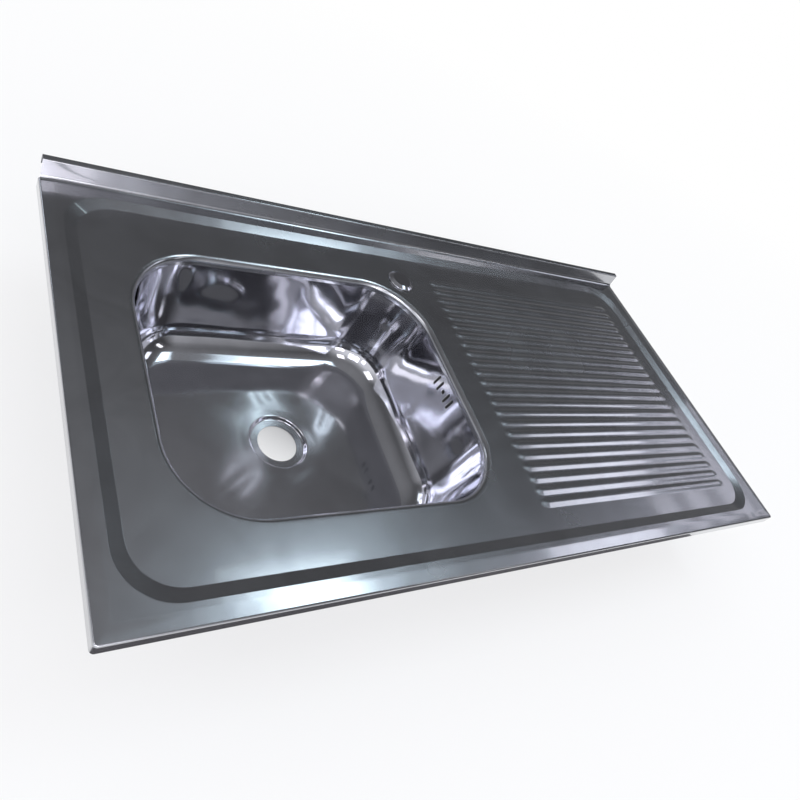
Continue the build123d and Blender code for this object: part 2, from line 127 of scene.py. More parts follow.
def bentProfile(corners, steps):
    # corners: (across, level, bend radius); gives the bent line's points
    out = [corners[0][:2]]
    for k in range(1, len(corners) - 1):
        p = Vector(corners[k][:2])
        before = (p - Vector(corners[k - 1][:2])).normalized()
        after = (Vector(corners[k + 1][:2]) - p).normalized()
        turn = before.angle(after)
        r = corners[k][2]
        if r <= 0 or turn < tiny:
            out.append(tuple(p))
            continue
        reach = r * math.tan(turn / 2)
        first = p - before * reach
        side = 1 if before.x * after.y - before.y * after.x > 0 else -1
        normal = Vector((-before.y, before.x)) * side
        centre = first + normal * r
        for i in range(steps + 1):
            a = side * turn * i / steps
            arm = -normal * r
            out.append((
                centre.x + arm.x * math.cos(a) - arm.y * math.sin(a),
                centre.y + arm.x * math.sin(a) + arm.y * math.cos(a),
            ))
    out.append(corners[-1][:2])
    return out


def addRing(bm, points, level):
    if not isinstance(level, (list, tuple)):
        level = [level] * len(points)
    return [bm.verts.new((x * mm, y * mm, z * mm)) for (x, y), z in zip(points, level)]


def stitch(bm, rows, closed=True):
    # faces between each row of corners and the next
    for a, b in zip(rows, rows[1:]):
        for i in range(len(a) if closed else len(a) - 1):
            j = (i + 1) % len(a)
            bm.faces.new((a[i], a[j], b[j], b[i]))


def inside(x, y, polygon):
    hit = False
    for i in range(len(polygon)):
        x0, y0 = polygon[i - 1]
        x1, y1 = polygon[i]
        if (y0 > y) != (y1 > y) and x < (x1 - x0) * (y - y0) / (y1 - y0) + x0:
            hit = not hit
    return hit


def fillFlat(bm, outline, holes, level):
    # flat sheet between an outline and its holes
    flat, edges = [], []
    for loop in [outline] + holes:
        start = len(flat)
        flat += [Vector(p) for p in loop]
        edges += [(start + i, start + (i + 1) % len(loop)) for i in range(len(loop))]
    found = delaunay_2d_cdt(flat, edges, [], 1, 1e-6)
    verts = [bm.verts.new((p.x * mm, p.y * mm, level * mm)) for p in found[0]]
    boxes = [
        (min(p[0] for p in h), max(p[0] for p in h), min(p[1] for p in h), max(p[1] for p in h), h)
        for h in holes
    ]
    for face in found[2]:
        cx = sum(found[0][i].x for i in face) / len(face)
        cy = sum(found[0][i].y for i in face) / len(face)
        if not inside(cx, cy, outline):
            continue
        if any(x0 < cx < x1 and y0 < cy < y1 and inside(cx, cy, h) for x0, x1, y0, y1, h in boxes):
            continue
        bm.faces.new([verts[i] for i in face])


def newObject(name, bm):
    mesh = bpy.data.meshes.new(name)
    bm.to_mesh(mesh)
    bm.free()
    obj = bpy.data.objects.new(name, mesh)
    bpy.context.scene.collection.objects.link(obj)
    return obj


def pointUp(bm):
    bmesh.ops.recalc_face_normals(bm, faces=bm.faces)
    if sum(f.normal.z * f.calc_area() for f in bm.faces) < 0:
        bmesh.ops.reverse_faces(bm, faces=bm.faces)


def smoothShade(obj, angle):
    obj.data.shade_smooth()
    obj.data.set_sharp_from_angle(angle=math.radians(angle))


def applyModifiers(obj):
    bpy.context.view_layer.update()
    shown = obj.evaluated_get(bpy.context.evaluated_depsgraph_get())
    mesh = bpy.data.meshes.new_from_object(shown)
    obj.modifiers.clear()
    obj.data = mesh
    return obj


def thicken(obj):
    wall = obj.modifiers.new("sheet", "SOLIDIFY")
    wall.thickness = sheetMetal["sheet"] * mm
    wall.offset = -1
    wall.use_even_offset = True
    return applyModifiers(obj)


def evenShade(obj, weight):
    smoothShade(obj, angle=40)
    shade = obj.modifiers.new("flatFaces", "WEIGHTED_NORMAL")
    shade.weight = weight
    shade.keep_sharp = True
    return applyModifiers(obj)


# Materials
def feed(nt, slot, value):
    # an output is linked, a number or a colour is set
    if isinstance(value, bpy.types.NodeSocket):
        nt.links.new(value, slot)
    elif slot.type == "RGBA":
        slot.default_value = (*value, 1.0)
    else:
        slot.default_value = value


def mathNode(nt, operation, first, second):
    node = nt.nodes.new("ShaderNodeMath")
    node.operation = operation
    feed(nt, node.inputs[0], first)
    feed(nt, node.inputs[1], second)
    return node.outputs[0]


def vectorNode(nt, operation, first, second=(0, 0, 0)):
    node = nt.nodes.new("ShaderNodeVectorMath")
    node.operation = operation
    feed(nt, node.inputs[0], first)
    feed(nt, node.inputs[1], second)
    return node.outputs["Value" if operation in ("LENGTH", "DOT_PRODUCT") else "Vector"]


def mapRange(nt, source, low, high, fromLow=0.3, fromHigh=0.7, smooth=False):
    node = nt.nodes.new("ShaderNodeMapRange")
    if smooth:
        node.interpolation_type = "SMOOTHSTEP"
    node.inputs["From Min"].default_value = fromLow
    node.inputs["From Max"].default_value = fromHigh
    node.inputs["To Min"].default_value = low
    node.inputs["To Max"].default_value = high
    nt.links.new(source, node.inputs["Value"])
    return node.outputs["Result"]


def mixColour(nt, share, first, second):
    node = nt.nodes.new("ShaderNodeMix")
    node.data_type = "RGBA"
    feed(nt, node.inputs[0], share)
    feed(nt, node.inputs[6], first)
    feed(nt, node.inputs[7], second)
    return node.outputs[2]


def mixShaders(nt, share, first, second):
    node = nt.nodes.new("ShaderNodeMixShader")
    for slot, value in zip(node.inputs, (share, first, second)):
        nt.links.new(value, slot)
    return node.outputs[0]


def noise(nt, place, scale, detail, rough=0.5, twist=0.0):
    node = nt.nodes.new("ShaderNodeTexNoise")
    for name, value in (
        ("Vector", place), ("Scale", scale), ("Detail", detail), ("Roughness", rough),
        ("Distortion", twist),
    ):
        feed(nt, node.inputs[name], value)
    return node.outputs["Fac"]


finish = {
    "cloudDetail": 4.0, "cloudRough": 0.55, "grainDetail": 2.0,
    "smearDetail": 6.0, "smearTwist": 1.2, "smearFiner": 2.6, "waveDetail": 0.6,
    "waveDistance": 0.01, "grainDistance": 0.0002,
    "spotScale": 26.0, "spotReach": (0.32, 0.18), "spotFrom": (0.58, 0.68),
}


def wearGroup():
    # soft cloudy variation and fine grain, used by every material of the sink
    g = bpy.data.node_groups.new("sheetFinish", "ShaderNodeTree")
    for name, value in (
        ("Cloud Size", 6.0), ("Grain Size", 900.0), ("Grain Stretch", 12.0), ("Wave Size", 10.0),
        ("Seed", 0.0),
    ):
        socket = g.interface.new_socket(name=name, in_out="INPUT", socket_type="NodeSocketFloat")
        socket.default_value = value
    for name in ("Cloud", "Grain", "Smear", "Wave", "Spots"):
        g.interface.new_socket(name=name, in_out="OUTPUT", socket_type="NodeSocketFloat")
    f, link = finish, g.links.new
    inn, out = g.nodes.new("NodeGroupInput").outputs, g.nodes.new("NodeGroupOutput").inputs
    place = g.nodes.new("ShaderNodeTexCoord").outputs["Object"]
    seed, stretch = g.nodes.new("ShaderNodeCombineXYZ"), g.nodes.new("ShaderNodeCombineXYZ")
    link(inn["Seed"], seed.inputs[0])
    link(inn["Seed"], seed.inputs[2])
    shifted = vectorNode(g, "ADD", place, seed.outputs[0])
    cloud = noise(g, shifted, inn["Cloud Size"], f["cloudDetail"], f["cloudRough"])
    link(cloud, out["Cloud"])
    # grain drawn out along X
    link(mathNode(g, "DIVIDE", 1.0, inn["Grain Stretch"]), stretch.inputs[0])
    stretch.inputs[1].default_value = 1.0
    stretch.inputs[2].default_value = 1.0
    drawn = vectorNode(g, "MULTIPLY", shifted, stretch.outputs[0])
    link(noise(g, drawn, inn["Grain Size"], f["grainDetail"]), out["Grain"])
    # wiped smears
    finer = mathNode(g, "MULTIPLY", inn["Cloud Size"], f["smearFiner"])
    link(noise(g, shifted, finer, f["smearDetail"], twist=f["smearTwist"]), out["Smear"])
    # slow waves of pressed sheet
    link(noise(g, shifted, inn["Wave Size"], f["waveDetail"]), out["Wave"])
    # dried water spots, a few and soft
    dry = g.nodes.new("ShaderNodeTexVoronoi")
    dry.inputs["Scale"].default_value = f["spotScale"]
    link(shifted, dry.inputs["Vector"])
    near = mapRange(g, dry.outputs["Distance"], 0.0, 1.0, *f["spotReach"], smooth=True)
    few = mapRange(g, cloud, 0.0, 1.0, *f["spotFrom"], smooth=True)
    link(mathNode(g, "MULTIPLY", near, few), out["Spots"])
    return g


finishGroup = wearGroup()


def bumpNode(nt, height, strength, distance):
    node = nt.nodes.new("ShaderNodeBump")
    node.inputs["Strength"].default_value = strength
    node.inputs["Distance"].default_value = distance
    nt.links.new(height, node.inputs["Height"])
    return node


def metal(name, given):
    look = {**usualLook, **given}
    mat = bpy.data.materials.new(name)
    mat.use_nodes = True
    nt = mat.node_tree
    shader = nt.nodes["Principled BSDF"]
    for socket, key in (
        ("Metallic", "metallic"), ("Coat Weight", "coat"), ("Coat Roughness", "coatRough"),
        ("Coat IOR", "coatIor"),
    ):
        shader.inputs[socket].default_value = look[key]
    group = nt.nodes.new("ShaderNodeGroup")
    group.node_tree = finishGroup
    for socket, key in (
        ("Cloud Size", "cloudSize"), ("Grain Size", "grainSize"), ("Grain Stretch", "grainStretch"),
        ("Wave Size", "waveSize"), ("Seed", "seed"),
    ):
        group.inputs[socket].default_value = look[key]
    share = mapRange(nt, group.outputs["Smear"], 0.0, 1.0)
    shade = mixColour(nt, share, look["colour"], look["colourWorn"])
    if "spotShade" in look:
        shade = mixColour(nt, group.outputs["Spots"], shade, look["spotShade"])
    nt.links.new(shade, shader.inputs["Base Color"])
    rough = mapRange(nt, group.outputs["Cloud"], look["roughLow"], look["roughHigh"])
    nt.links.new(rough, shader.inputs["Roughness"])
    height = group.outputs["Wave"]
    if "calmBelow" in look:
        low, high, calm = look["calmBelow"]
        place, split = nt.nodes.new("ShaderNodeTexCoord"), nt.nodes.new("ShaderNodeSeparateXYZ")
        nt.links.new(place.outputs["Object"], split.inputs[0])
        left = mapRange(nt, split.outputs["Z"], calm, 1.0, low, high)
        height = mathNode(nt, "MULTIPLY", mathNode(nt, "SUBTRACT", height, 0.5), left)
    wave = bumpNode(nt, height, look["waveBump"], finish["waveDistance"])
    grain = bumpNode(nt, group.outputs["Grain"], look["grainBump"], finish["grainDistance"])
    nt.links.new(wave.outputs["Normal"], grain.inputs["Normal"])
    nt.links.new(grain.outputs["Normal"], shader.inputs["Normal"])
    return mat


usualLook = {
    "metallic": 1.0, "coat": 0.0, "coatRough": 0.03, "coatIor": 1.5,
    "waveSize": 10.0, "seed": 0.0, "grainStretch": 1.0,
}
looks = {
    "satinSteel": {
        "colour": (0.42, 0.43, 0.46), "colourWorn": (0.33, 0.335, 0.36),
        "spotShade": (0.335, 0.34, 0.365), "waveSize": 9.0,
        "cloudSize": 5.0, "grainSize": 700.0,
        "roughLow": 0.22, "roughHigh": 0.28, "grainBump": 0.0, "waveBump": 0.03,
        "coat": 1.0, "coatRough": 0.065, "coatIor": 2.2,
    },
    "polishedSteel": {
        "colour": (0.60, 0.602, 0.64), "colourWorn": (0.55, 0.552, 0.585),
        "cloudSize": 9.0, "grainSize": 900.0, "seed": 3.0, "waveSize": 17.0,
        "roughLow": 0.06, "roughHigh": 0.12, "grainBump": 0.0, "waveBump": 0.22,
        "calmBelow": (0.012, 0.05, 0.06),      # the pressed waves fade on the bowl's floor
    },
    "plainSteel": {
        "colour": (0.38, 0.38, 0.39), "colourWorn": (0.30, 0.30, 0.30),
        "cloudSize": 20.0, "grainSize": 1500.0, "grainStretch": 10.0, "seed": 5.0,
        "roughLow": 0.32, "roughHigh": 0.45, "grainBump": 0.08, "waveBump": 0.01,
    },
    "zincPlate": {
        "colour": (0.5, 0.51, 0.52), "colourWorn": (0.4, 0.41, 0.4),
        "cloudSize": 40.0, "grainSize": 2500.0, "seed": 7.0,
        "roughLow": 0.28, "roughHigh": 0.4, "grainBump": 0.08, "waveBump": 0.0,
    },
    "turnedBrass": {
        "colour": (0.62, 0.45, 0.2), "colourWorn": (0.5, 0.35, 0.15),
        "cloudSize": 60.0, "grainSize": 3000.0, "seed": 9.0,
        "roughLow": 0.25, "roughHigh": 0.38, "grainBump": 0.05, "waveBump": 0.0,
    },
    "sealRubber": {
        "colour": (0.03, 0.03, 0.03), "colourWorn": (0.045, 0.045, 0.045), "metallic": 0.0,
        "cloudSize": 60.0, "grainSize": 2500.0, "seed": 11.0,
        "roughLow": 0.55, "roughHigh": 0.75, "grainBump": 0.2, "waveBump": 0.0,
    },
    "soundPad": {
        "colour": (0.06, 0.06, 0.065), "colourWorn": (0.09, 0.09, 0.095), "metallic": 0.0,
        "cloudSize": 30.0, "grainSize": 1400.0, "seed": 13.0,
        "roughLow": 0.65, "roughHigh": 0.9, "grainBump": 0.5, "waveBump": 0.0,
    },
}
mats = {name: metal(name, look) for name, look in looks.items()}


# The top sheet
def stepLoop(inset):
    s, d = sheetMetal, stepDown
    if inset < 0:
        corner = d["corner"] - inset
    else:
        share = min(inset / d["run"], 1.0)
        corner = d["corner"] + (d["cornerInner"] - d["corner"]) * share
        corner -= max(inset - d["run"], 0.0)
    return roundedLoop(
        s["left"] + d["left"] + inset, s["right"] - d["right"] - inset,
        s["front"] + d["front"] + inset, s["rear"] - d["rear"] - inset,
        corner, d["cornerSteps"], d["sideSteps"],
    )


def mouthLoop(inset):
    b = bowlMouth
    length, width = b["halfLength"] - inset, b["halfWidth"] - inset
    return roundedLoop(
        -length, length, -width, width, b["corner"] - inset, b["cornerSteps"], b["sideSteps"]
    )


def ribLoop(reach):
    # one rib's outline at a distance from its ridge, from the front left round
    d = drainer
    long, wide = d["endStretch"], d["pitch"] / 2
    x0, x1 = d["start"] + wide * long, d["end"] - wide * long
    side = [x0 + (x1 - x0) * i / d["sideSteps"] for i in range(d["sideSteps"] + 1)]
    bow = [math.pi * i / (2 * d["endSteps"]) for i in range(1, 2 * d["endSteps"])]
    points = [(x, -reach) for x in side]
    points += [(x1 + long * reach * math.sin(a), -reach * math.cos(a)) for a in bow]
    points += [(x, reach) for x in reversed(side)]
    points += [(x0 - long * reach * math.sin(a), reach * math.cos(a)) for a in bow]
    return points


def drainerEdge():
    # the scalloped line round all the ribs
    d = drainer
    n, half = d["sideSteps"] + 1, d["pitch"] / 2
    loop = ribLoop(half)
    turn = n + 2 * d["endSteps"] - 1
    front, right = loop[:n], loop[n - 1:turn + 1]
    rear, left = loop[turn:turn + n], loop[turn + n - 1:] + loop[:1]
    places = [(i - (d["count"] - 1) / 2) * d["pitch"] for i in range(d["count"])]
    points = [(x, y + places[0]) for x, y in front[:-1]]
    for place in places:
        points += [(x, y + place) for x, y in right[:-1]]
    points += [(x, y + places[-1]) for x, y in rear[:-1]]
    for place in reversed(places):
        points += [(x, y + place) for x, y in left[:-1]]
    return points


def newTree(name, inputs):
    # an empty geometry tree with named inputs
    g = bpy.data.node_groups.new(name, "GeometryNodeTree")
    face = g.interface
    face.new_socket(name="Geometry", in_out="INPUT", socket_type="NodeSocketGeometry")
    for label, kind, value in inputs + (("Material", "NodeSocketMaterial", None),):
        socket = face.new_socket(name=label, in_out="INPUT", socket_type=kind)
        if value is not None:
            socket.default_value = value
    face.new_socket(name="Geometry", in_out="OUTPUT", socket_type="NodeSocketGeometry")
    return g, g.nodes.new("NodeGroupInput"), g.nodes.new("NodeGroupOutput")


def placeEach(g, points, inn, out):
    # the piece on every point, made real and painted
    n, l = g.nodes, g.links
    each = n.new("GeometryNodeInstanceOnPoints")
    l.new(points, each.inputs["Points"])
    l.new(inn.outputs["Geometry"], each.inputs["Instance"])
    real, paint = n.new("GeometryNodeRealizeInstances"), n.new("GeometryNodeSetMaterial")
    l.new(each.outputs["Instances"], real.inputs["Geometry"])
    l.new(real.outputs["Geometry"], paint.inputs["Geometry"])
    l.new(inn.outputs["Material"], paint.inputs["Material"])
    l.new(paint.outputs["Geometry"], out.inputs["Geometry"])


def ribTree():
    # lays one rib out in a row
    g, inn, out = newTree("ribRow", (
        ("Count", "NodeSocketInt", 5), ("Pitch", "NodeSocketFloat", 0.01),
        ("First", "NodeSocketFloat", 0.0),
    ))
    n, l = g.nodes, g.links
    first, step = n.new("ShaderNodeCombineXYZ"), n.new("ShaderNodeCombineXYZ")
    l.new(inn.outputs["First"], first.inputs["Y"])
    l.new(inn.outputs["Pitch"], step.inputs["Y"])
    row = n.new("GeometryNodeMeshLine")
    row.mode = "OFFSET"
    l.new(inn.outputs["Count"], row.inputs["Count"])
    l.new(first.outputs[0], row.inputs["Start Location"])
    l.new(step.outputs[0], row.inputs["Offset"])
    placeEach(g, row.outputs["Mesh"], inn, out)
    return g


def gridTree():
    # sets one piece out in columns and rows round a middle
    g, inn, out = newTree("pieceGrid", (
        ("Columns", "NodeSocketInt", 2), ("Rows", "NodeSocketInt", 2),
        ("Width", "NodeSocketFloat", 0.1), ("Length", "NodeSocketFloat", 0.1),
        ("Middle", "NodeSocketVector", None),
    ))
    n, l = g.nodes, g.links
    grid, move = n.new("GeometryNodeMeshGrid"), n.new("GeometryNodeTransform")
    for name, socket in (
        ("Columns", "Vertices X"), ("Rows", "Vertices Y"), ("Width", "Size X"), ("Length", "Size Y"),
    ):
        l.new(inn.outputs[name], grid.inputs[socket])
    l.new(grid.outputs["Mesh"], move.inputs["Geometry"])
    l.new(inn.outputs["Middle"], move.inputs["Translation"])
    placeEach(g, move.outputs["Geometry"], inn, out)
    return g


def setInputs(modifier, values):
    for item in modifier.node_group.interface.items_tree:
        if item.item_type == "SOCKET" and item.in_out == "INPUT" and item.name in values:
            modifier[item.identifier] = values[item.name]


def makeRibs():
    # pressed in waves: each rib falls smoothly to the line it shares with the next
    d = drainer
    bm = bmesh.new()
    rings = []
    for k in range(d["waveSteps"] + 1):
        reach = d["pitch"] / 2 * (1 - k / d["waveSteps"])
        rise = d["height"] / 2 * (1 + math.cos(2 * math.pi * reach / d["pitch"]))
        rings.append(addRing(bm, ribLoop(reach), sheetMetal["deckTop"] + rise))
    stitch(bm, rings)
    bmesh.ops.remove_doubles(bm, verts=bm.verts, dist=sameSpot)
    obj = newObject("drainerRibs", bm)
    row = obj.modifiers.new("row", "NODES")
    row.node_group = ribTree()
    setInputs(row, {
        "Count": d["count"], "Pitch": d["pitch"] * mm,
        "First": -(d["count"] - 1) / 2 * d["pitch"] * mm, "Material": mats["satinSteel"],
    })
    return applyModifiers(obj)


def openEdge(inset):
    # the left, front and right edges as one open line, from the rear round to the rear
    s = sheetMetal
    r, near = max(s["foldCorner"] - inset, 0.0), s["straightFrom"]
    x0, x1, y0 = s["left"] + inset, s["right"] - inset, s["front"] + inset
    foot = s["rear"] - upstand["foot"]
    run = [foot - (foot - s["front"] - near) * i / s["sideSteps"] for i in range(s["sideSteps"])]
    across = s["right"] - s["left"] - 2 * near
    points = [(x0, s["rear"])] + [(x0, y) for y in run]
    points += arc(x0 + r, y0 + r, r, 180, 90, s["cornerSteps"])
    points += [
        (s["left"] + near + across * i / s["frontSteps"], y0) for i in range(1, s["frontSteps"])
    ]
    points += arc(x1 - r, y0 + r, r, 270, 90, s["cornerSteps"])
    return points + [(x1, y) for y in reversed(run)] + [(x1, s["rear"])]


def addFlats(bm):
    # the flat border round the step, and the deck round the bowl, the tap hole and the ribs
    s, d, u, t = sheetMetal, stepDown, upstand, tapHole
    fallBack = s["fallRun"] + s["fallFlat"]
    outline = openEdge(fallBack)[1:-1]
    clean = [outline[0]]
    for p in outline[1:]:
        if abs(p[0] - clean[-1][0]) + abs(p[1] - clean[-1][1]) > tiny:
            clean.append(p)
    x0, x1 = s["left"] + fallBack, s["right"] - fallBack
    xs = [x1 + (x0 - x1) * i / u["lengthSteps"] for i in range(1, u["lengthSteps"])]
    clean += [(x, s["rear"] - u["foot"]) for x in xs]
    fillFlat(bm, clean, [stepLoop(-d["flat"])], s["borderTop"])
    holes = [
        mouthLoop(-bowlMouth["flat"]), circle(t["x"], t["y"], t["radius"], t["steps"]), drainerEdge(),
    ]
    fillFlat(bm, stepLoop(d["run"] + d["flat"]), holes, s["deckTop"])
    return xs


def addUpstand(bm, edge, xs):
    # one section after another along the back, the ends on the folded edges
    s, u = sheetMetal, upstand
    top = s["borderTop"] + u["height"]
    end = [(a, z) for a, z in edge if z > s["borderTop"] - s["fallDrop"] and a > s["endFrom"]]
    across = [(s["left"] + a, z) for a, z in end]
    across += [(x, s["borderTop"]) for x in reversed(xs)]
    across += [(s["right"] - a, z) for a, z in reversed(end)]
    columns = []
    for x, base in across:
        profile = bentProfile([
            (s["rear"] - u["foot"], base, 0), (s["rear"], base, u["footBend"]),
            (s["rear"] + u["lean"], top - u["capRise"], u["topBend"]),
            (s["rear"] + u["capDepth"], top, u["topBend"]),
            (s["rear"] + u["capDepth"], top - u["hem"], 0),
        ], u["bendSteps"])
        columns.append([bm.verts.new((x * mm, y * mm, z * mm)) for y, z in profile])
    stitch(bm, columns, closed=False)


def makeSinkTop():
    s, d, m = sheetMetal, stepDown, bowlMouth
    bm = bmesh.new()
    # step from the border to the deck
    profile = bentProfile([
        (-d["flat"], s["borderTop"], 0), (0, s["borderTop"], d["bendTop"]),
        (d["run"], s["deckTop"], d["bendFoot"]), (d["run"] + d["flat"], s["deckTop"], 0),
    ], d["bendSteps"])
    stitch(bm, [addRing(bm, stepLoop(a), z) for a, z in profile])
    # rolled edge round the bowl
    profile = bentProfile([
        (-m["flat"], s["deckTop"], 0), (m["roll"], s["deckTop"], m["roll"]),
        (m["roll"], m["weldLevel"], 0),
    ], m["rollSteps"])
    stitch(bm, [addRing(bm, mouthLoop(a), z) for a, z in profile])
    # folded edges, lip to border
    edge = bentProfile([
        (s["lip"], s["restLevel"], 0), (0, s["restLevel"], s["lipBend"]),
        (0, s["borderTop"] - s["fallDrop"], s["foldBend"]),
        (s["fallRun"], s["borderTop"], s["fallBend"]), (s["fallRun"] + s["fallFlat"], s["borderTop"], 0),
    ], s["bendSteps"])
    stitch(bm, [addRing(bm, openEdge(a), z) for a, z in edge], closed=False)
    xs = addFlats(bm)
    ribs = makeRibs()
    bm.from_mesh(ribs.data)
    bpy.data.objects.remove(ribs)
    addUpstand(bm, edge, xs)
    bmesh.ops.remove_doubles(bm, verts=bm.verts, dist=s["joinWithin"] * mm)
    pointUp(bm)
    return evenShade(thicken(newObject("sinkTop", bm)), s["normalWeight"])


# The bowl
def floorCrease(x, y):
    # how deep the pressed lines are at a point of the floor
    total = 0.0
    for (x0, y0), (x1, y1), depth, width in bowlForm["creases"]:
        run = math.hypot(x1 - x0, y1 - y0)
        along = ((x - x0) * (x1 - x0) + (y - y0) * (y1 - y0)) / run
        off = ((x - x0) * (y1 - y0) - (y - y0) * (x1 - x0)) / run
        fade = bowlForm["creaseEnd"]
        ends = min(max(along / fade, 0.0), max((run - along) / fade, 0.0), 1.0)
        total += depth * ends * math.exp(-(off / width) ** 2)
    return total


def makeBowl():
    m, f = bowlMouth, bowlForm
    slope = math.tan(math.radians(f["draft"]))
    footInset = m["roll"] + (m["weldLevel"] - f["floor"]) * slope
    bm = bmesh.new()
    profile = bentProfile([
        (m["roll"], m["weldLevel"], 0), (footInset, f["floor"] + f["fall"], f["foot"]),
        (footInset + f["floorReach"], f["floor"] + f["fall"], 0),
    ], f["footSteps"])[:-1]
    (a0, z0), (a1, z1), steps = profile[0], profile[1], f["wallSteps"]
    wall = [(a0 + (a1 - a0) * i / steps, z0 + (z1 - z0) * i / steps) for i in range(steps)]
    profile = wall + profile[1:]
    rings = [addRing(bm, mouthLoop(a), z) for a, z in profile]
    # floor, falling to the waste, with shallow creases
    outer = mouthLoop(profile[-1][0])
    inner = []
    for x, y in outer:
        reach = math.hypot(x, y)
        inner.append((x / reach * f["recessJoin"], y / reach * f["recessJoin"]))
    for k in range(1, f["floorSteps"] + 1):
        share = k / f["floorSteps"]
        fade = min(share * f["creaseFade"], (1 - share) * f["creaseFade"], 1.0)
        points, levels = [], []
        for (ax, ay), (bx, by) in zip(outer, inner):
            x, y = ax + (bx - ax) * share, ay + (by - ay) * share
            points.append((x, y))
            levels.append(f["floor"] + f["fall"] * (1 - share) - floorCrease(x, y) * fade)
        rings.append(addRing(bm, points, levels))
    recess = bentProfile([
        (f["recessJoin"], f["floor"], 0), (f["recessEdge"], f["floor"], f["recessBend"]),
        (f["recessEdge"] - f["recessSlope"], 0, f["recessBend"]), (f["waste"], 0, 0),
    ], f["recessSteps"])
    for r, z in recess[1:]:
        share = r / f["recessJoin"]
        rings.append(addRing(bm, [(x * share, y * share) for x, y in inner], z))
    stitch(bm, rings)
    bmesh.ops.remove_doubles(bm, verts=bm.verts, dist=sameSpot)
    pointUp(bm)
    obj = thicken(newObject("bowlShell", bm))
    cutOverflow(obj)
    return evenShade(obj, f["normalWeight"])


def cutOverflow(obj):
    o, m, f = overflow, bowlMouth, bowlForm
    tilt = math.radians(f["draft"])
    wallX = m["halfLength"] - m["roll"] - (m["weldLevel"] - o["level"]) * math.tan(tilt)
    turn = Matrix.Translation((wallX * mm, 0, o["level"] * mm)) @ Matrix.Rotation(tilt, 4, "Y")
    r, half = o["slotWidth"] / 2, o["slotHeight"] / 2 - o["slotWidth"] / 2
    slot = arc(0, half, r, 0, 180, o["arcSteps"]) + arc(0, -half, r, 180, 180, o["arcSteps"])
    shapes = [[(place * o["pitch"] + p, q) for p, q in slot] for place in o["places"]]
    shapes.append(circle(0, 0, o["screw"], o["screwSteps"]))
    bm = bmesh.new()
    for shape in shapes:
        ends = [
            [bm.verts.new(turn @ Vector((x * mm, y * mm, z * mm))) for y, z in shape]
            for x in (-o["cutDepth"], o["cutDepth"])
        ]
        stitch(bm, ends)
        bm.faces.new(ends[0])
        bm.faces.new(ends[1])
    bmesh.ops.recalc_face_normals(bm, faces=bm.faces)
    tool = newObject("slotTool", bm)
    cutter = obj.modifiers.new("slots", "BOOLEAN")
    cutter.operation = "DIFFERENCE"
    cutter.solver = "EXACT"
    cutter.object = tool
    applyModifiers(obj)
    bpy.data.objects.remove(tool)


# Turned pieces
cap = {
    "base": 139.8, "radius": 19.0, "edge": 0.8, "flat": 13.5, "height": 3.4,
    "edgeBend": 0.5, "shoulder": 1.2, "under": 14.0, "dish": 2.0, "stud": 3.0, "studLength": 27.0,
    "sink": 0.25,               # the top's slight hollow, then shares of the flat and of the hollow
    "hollow": ((0, 1.0), (0.45, 0.8), (0.75, 0.35)),
    "baseBend": 0.15, "underBend": 0.1, "dishBend": 0.4, "tip": 0.6,
    "thread": 1.0, "threadDepth": 0.35, "threadFrom": 8.0, "steps": 72, "bendSteps": 4,
}


def turned(name, profile, place, steps, closed=False):
    # profile: (radius, level) from the top middle outwards and down
    bm = bmesh.new()
    rings = [addRing(bm, circle(*place, r, steps) if r else [place], z) for r, z in profile]
    for a, b in zip(rings, rings[1:]):
        if len(a) == 1:
            for i in range(steps):
                bm.faces.new((a[0], b[i], b[(i + 1) % steps]))
        elif len(b) == 1:
            for i in range(steps):
                bm.faces.new((a[i], b[0], a[(i + 1) % steps]))
        else:
            stitch(bm, (a, b))
    if closed:
        stitch(bm, (rings[-1], rings[0]))
    bmesh.ops.recalc_face_normals(bm, faces=bm.faces)
    obj = newObject(name, bm)
    smoothShade(obj, angle=30)
    return obj


def threadTurns(p, start, stop, lead):
    # one groove for each turn of the thread, down to the stop
    points, z = [], start
    middle, end = p["thread"] * 0.5, p["thread"] * 0.9
    while z - p["thread"] > stop:
        points += [
            (p["stud"], z - lead), (p["stud"] - p["threadDepth"], z - middle), (p["stud"], z - end),
        ]
        z -= p["thread"]
    return points


def makeCap():
    c = cap
    top, low = c["base"] + c["height"], c["base"] - c["studLength"]
    hollow = [(c["flat"] * out, top - c["sink"] * deep) for out, deep in c["hollow"]]
    profile = hollow[:-1] + bentProfile([
        (*hollow[-1], 0), (c["flat"], top, c["shoulder"]),
        (c["radius"], c["base"] + c["edge"], c["edgeBend"]), (c["radius"], c["base"], c["baseBend"]),
        (c["under"], c["base"], c["underBend"]), (c["under"], c["base"] + c["dish"], c["dishBend"]),
        (c["stud"], c["base"] + c["dish"], c["dishBend"]),
        (c["stud"], c["base"] - c["threadFrom"] + c["thread"], 0),
    ], c["bendSteps"])
    profile += threadTurns(c, c["base"] - c["threadFrom"], low + c["tip"], c["thread"] * 0.1)
    profile += [(c["stud"], low + c["tip"]), (c["stud"] - c["tip"], low), (0, low)]
    return turned("tapHoleCap", profile, (tapHole["x"], tapHole["y"]), c["steps"])


